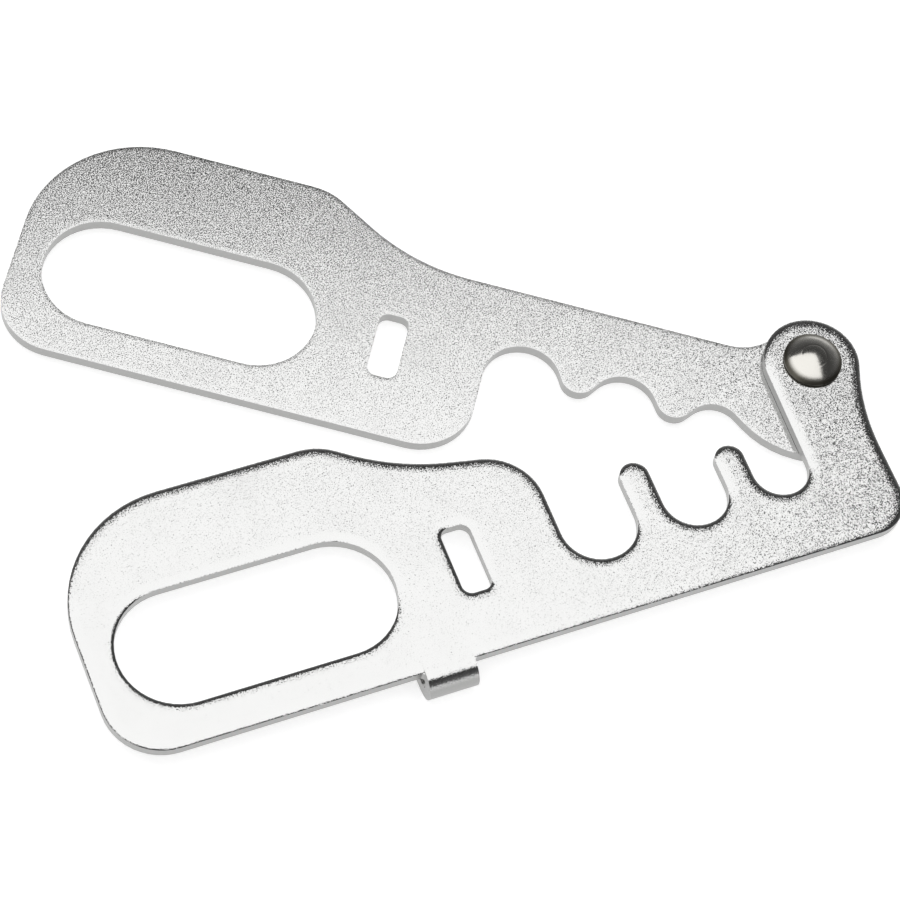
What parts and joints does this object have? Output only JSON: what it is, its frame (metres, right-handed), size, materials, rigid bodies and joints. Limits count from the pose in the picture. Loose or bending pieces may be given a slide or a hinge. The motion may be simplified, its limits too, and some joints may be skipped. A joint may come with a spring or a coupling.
{
  "type": "laptop lock cable trap",
  "caption": "Riveted pair of notched steel plates that traps peripheral cables and is held shut by a laptop lock through its slots.",
  "frame": {"origin": "centre of the front plate's lock slot, on the plate's outer face", "axes": "+X along the plates' straight bottom edge towards the rivet, +Y from that edge towards the top edge, +Z out of the front plate's outer face"},
  "size_m": [0.0807, 0.0636, 0.0049],
  "materials": {
    "front_plate_steel": "satin nickel plate, fine pebbled grain",
    "rear_plate_steel": "satin nickel plate, fine pebbled grain",
    "rivet_steel": "smooth bright steel"
  },
  "bodies": {
    "front": {"front_plate": "front_plate_steel", "pivot_rivet": "rivet_steel"},
    "rear": {"rear_plate": "rear_plate_steel"}
  },
  "joints": [
    {"name": "plate_pivot", "type": "hinge", "parent": "front", "child": "rear", "pos_m": [0.0396, 0.00935, 0], "axis": [0, 0, 1], "range_deg": [-293, 34]}
  ]
}
